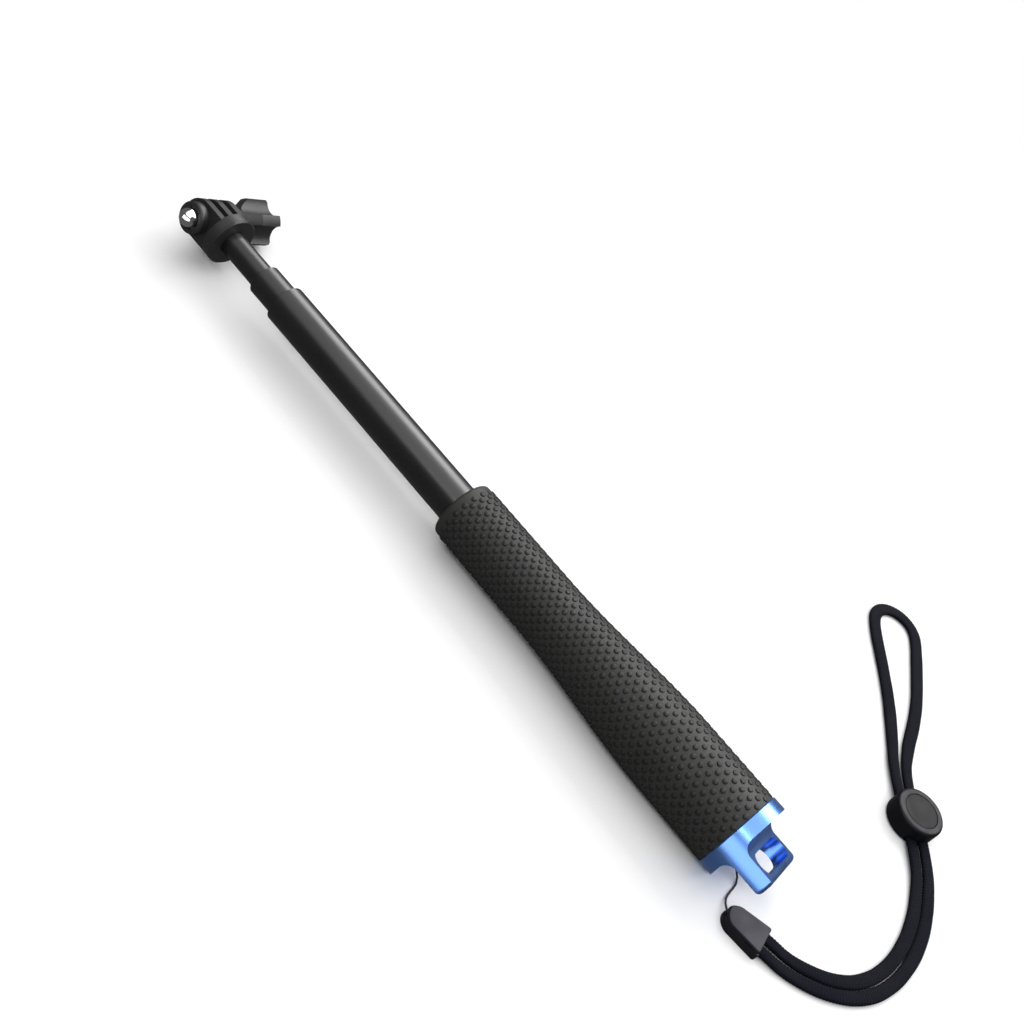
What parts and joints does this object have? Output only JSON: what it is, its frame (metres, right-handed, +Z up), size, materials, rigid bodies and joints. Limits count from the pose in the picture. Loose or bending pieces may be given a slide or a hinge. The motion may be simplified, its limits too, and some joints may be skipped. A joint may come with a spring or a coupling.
{
  "type": "telescoping camera hand pole",
  "caption": "Three-tube telescoping hand pole with dotted rubber grip, blue metal end cap with lanyard loop, wrist strap and pronged camera fork with thumb screw.",
  "frame": {"origin": "on the pole's axis at the middle of the grip", "axes": "+X along the pole towards the camera fork, +Z up as it lies on a flat surface, the knob on the -Y side"},
  "size_m": [0.3765, 0.1985, 0.032],
  "materials": {
    "tube": "satin black anodised",
    "grip": "matt, dotted",
    "bush": "moulded acetal",
    "lock": "moulded nylon",
    "cap": "blue anodised",
    "fork": "moulded nylon",
    "nut": "polished",
    "screw": "turned",
    "knob": "moulded nylon",
    "cord": "braided",
    "ferrule": "blackened",
    "clip_body": "satin",
    "clip_lid": "satin",
    "strap": "woven",
    "slider": "satin",
    "slider_disc": "satin"
  },
  "bodies": {
    "handle": {"end_cap": "cap", "handle_tube": "tube", "grip_sleeve": "grip", "handle_bush": "bush", "strap_cord": "cord", "cord_ferrule": "ferrule", "clip_body": "clip_body", "clip_lid": "clip_lid", "wrist_strap": "strap"},
    "lower_lock": {"lower_lock_ring": "bush"},
    "lower_stage": {"lower_tube": "tube", "lower_lock_plug": "lock", "lower_bush": "bush"},
    "middle_lock": {"middle_lock_ring": "bush"},
    "middle_stage": {"middle_tube": "tube", "middle_lock_plug": "lock", "middle_bush": "bush"},
    "upper_lock": {"upper_lock_ring": "bush"},
    "upper_stage": {"upper_tube": "tube", "upper_lock_plug": "lock", "camera_fork": "fork", "acorn_nut": "nut"},
    "clamp_screw": {"thumb_screw": "screw", "thumb_knob": "knob"},
    "strap_slider": {"slider_body": "slider", "slider_disc": "slider_disc"}
  },
  "joints": [
    {"name": "lower_tube_slide", "type": "slide", "parent": "handle", "child": "lower_lock", "axis": [1, 0, 0], "range_m": [-0.1015, 0.0076]},
    {"name": "lower_twist_lock", "type": "hinge", "parent": "lower_lock", "child": "lower_stage", "pos_m": [0.045, 0, 0], "axis": [1, 0, 0], "range_deg": [-150, 0]},
    {"name": "middle_tube_slide", "type": "slide", "parent": "lower_stage", "child": "middle_lock", "axis": [1, 0, 0], "range_m": [-0.009, 0.087]},
    {"name": "middle_twist_lock", "type": "hinge", "parent": "middle_lock", "child": "middle_stage", "pos_m": [0.072, 0, 0], "axis": [1, 0, 0], "range_deg": [-150, 0]},
    {"name": "upper_tube_slide", "type": "slide", "parent": "middle_stage", "child": "upper_lock", "axis": [1, 0, 0], "range_m": [-0.0174, 0.0651]},
    {"name": "upper_twist_lock", "type": "hinge", "parent": "upper_lock", "child": "upper_stage", "pos_m": [0.108, 0, 0], "axis": [1, 0, 0], "range_deg": [-150, 0]},
    {"name": "clamp_screw_turn", "type": "hinge", "parent": "upper_stage", "child": "clamp_screw", "pos_m": [0.224, 0, 0], "axis": [0, -0.9691, -0.2467], "continuous": true},
    {"name": "strap_slider_slide", "type": "slide", "parent": "handle", "child": "strap_slider", "axis": [0.7397, -0.6729, 0], "range_m": [-0.004, 0.004]}
  ]
}
